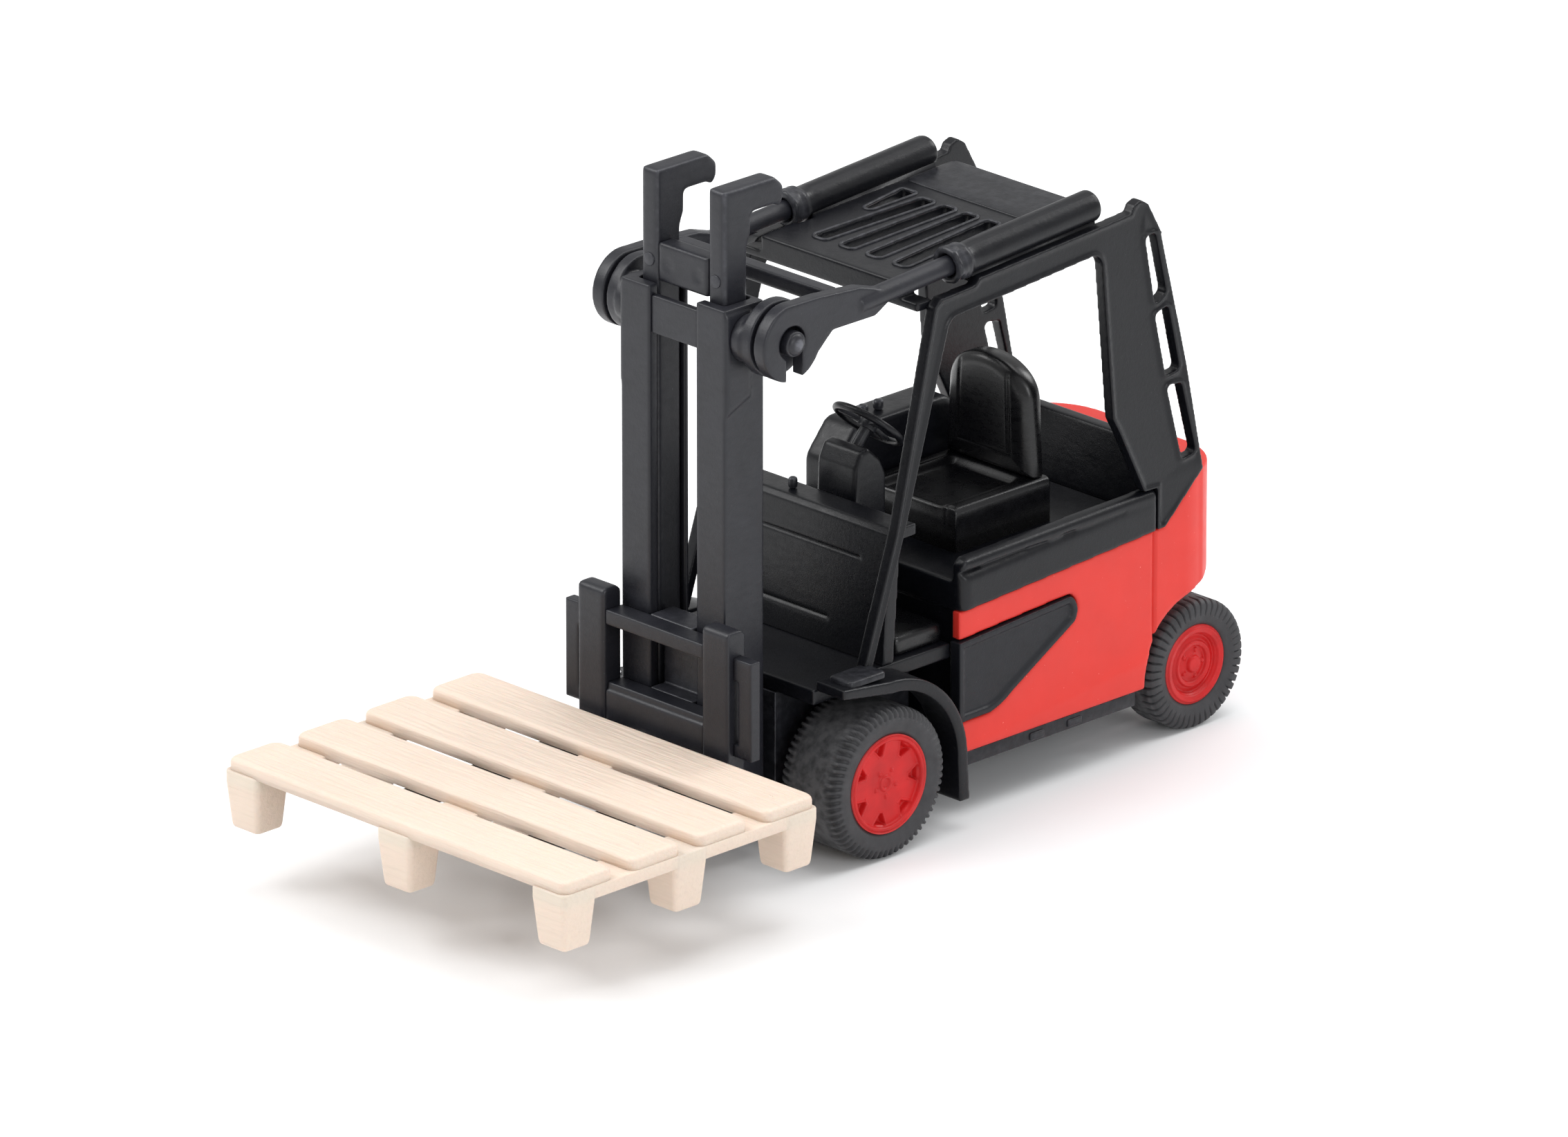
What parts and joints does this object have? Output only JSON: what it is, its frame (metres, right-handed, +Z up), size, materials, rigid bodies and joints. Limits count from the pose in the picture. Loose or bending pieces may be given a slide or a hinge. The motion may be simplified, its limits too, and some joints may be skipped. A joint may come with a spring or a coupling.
{
  "type": "toy forklift",
  "caption": "Small-scale toy counterbalance forklift with open cab, tilting telescopic mast, lifting forks and a loose pallet on them.",
  "frame": {"origin": "on the ground under the middle of the toy's bounding box, pallet included", "axes": "+Z up, the forks and pallet point to -Y, the truck's left side is +X"},
  "size_m": [0.0364, 0.0798, 0.0528],
  "materials": {
    "red_casting": "satin enamel on die-cast zinc",
    "black_panel": "fine grain",
    "black_plastic": "satin, fine grain",
    "mast_plastic": "satin",
    "steel": "drawn wire",
    "rim_plastic": "satin",
    "tyre": "matt",
    "pallet_plastic": "satin"
  },
  "bodies": {
    "truck": {"body_casting": "red_casting", "side_inset_left": "black_panel", "side_inset_right": "black_panel", "cab_tub": "black_plastic", "floor_plate": "black_plastic", "footwell_step": "black_plastic", "front_cowl": "black_plastic", "rear_ledge": "black_plastic", "seat_cushion": "black_plastic", "seat_backrest": "black_plastic", "steering_column": "black_plastic", "steering_wheel": "black_plastic", "control_console": "black_plastic", "control_levers": "black_plastic", "dash_knob": "black_plastic", "roof_panel": "black_plastic", "chassis_base": "black_plastic", "fender_left": "black_plastic", "fender_right": "black_plastic", "guard_frame_left": "black_plastic", "guard_frame_right": "black_plastic", "tilt_cylinder_left": "black_plastic", "tilt_cylinder_right": "black_plastic", "chassis_rivets": "steel", "mast_pivot_pin": "steel"},
    "front_wheels": {"front_axle": "steel", "front_rim_left": "rim_plastic", "front_rim_right": "rim_plastic", "front_tyre_left": "tyre", "front_tyre_right": "tyre"},
    "rear_wheels": {"rear_axle": "steel", "rear_rim_left": "rim_plastic", "rear_rim_right": "rim_plastic", "rear_tyre_left": "tyre", "rear_tyre_right": "tyre"},
    "mast": {"outer_rail_left": "mast_plastic", "outer_rail_right": "mast_plastic", "outer_cross_top": "mast_plastic", "outer_cross_bottom": "mast_plastic", "tilt_lug_left": "mast_plastic", "tilt_lug_right": "mast_plastic"},
    "tilt_yoke": {"tilt_rod_left": "mast_plastic", "tilt_rod_right": "mast_plastic", "tilt_cross_bar": "mast_plastic"},
    "inner_mast": {"inner_rail_left": "mast_plastic", "inner_rail_right": "mast_plastic", "inner_cross_top": "mast_plastic", "inner_cross_bottom": "mast_plastic"},
    "carriage": {"fork_left": "mast_plastic", "fork_right": "mast_plastic", "carriage_arm_left": "mast_plastic", "carriage_arm_right": "mast_plastic", "carriage_bar_upper": "mast_plastic", "carriage_bar_lower": "mast_plastic", "guide_shoe": "mast_plastic"},
    "pallet": {"pallet": "pallet_plastic"}
  },
  "joints": [
    {"name": "front_axle_spin", "type": "hinge", "parent": "truck", "child": "front_wheels", "pos_m": [0, -0.00075, 0.0059], "axis": [1, 0, 0], "continuous": true},
    {"name": "rear_axle_spin", "type": "hinge", "parent": "truck", "child": "rear_wheels", "pos_m": [0, 0.03485, 0.0051], "axis": [1, 0, 0], "continuous": true},
    {"name": "mast_tilt", "type": "hinge", "parent": "truck", "child": "mast", "pos_m": [0, -0.00915, 0.0049], "axis": [1, 0, 0], "range_deg": [-3.5, 5]},
    {"name": "yoke_slide", "type": "slide", "parent": "truck", "child": "tilt_yoke", "axis": [0, 0.9977, 0.068], "range_m": [-0.0033, 0.0024]},
    {"name": "inner_mast_lift", "type": "slide", "parent": "mast", "child": "inner_mast", "axis": [0, 0, 1], "range_m": [0, 0.02]},
    {"name": "carriage_lift", "type": "slide", "parent": "inner_mast", "child": "carriage", "axis": [0, 0, 1], "range_m": [-0.002, 0.02]},
    {"name": "pallet_lift_off", "type": "slide", "parent": "carriage", "child": "pallet", "axis": [0, 0, 1], "range_m": [0, 0.02]}
  ],
  "couplings": [
    {"joint": "yoke_slide", "follows": "mast_tilt", "m_per_rad": -0.0366}
  ]
}
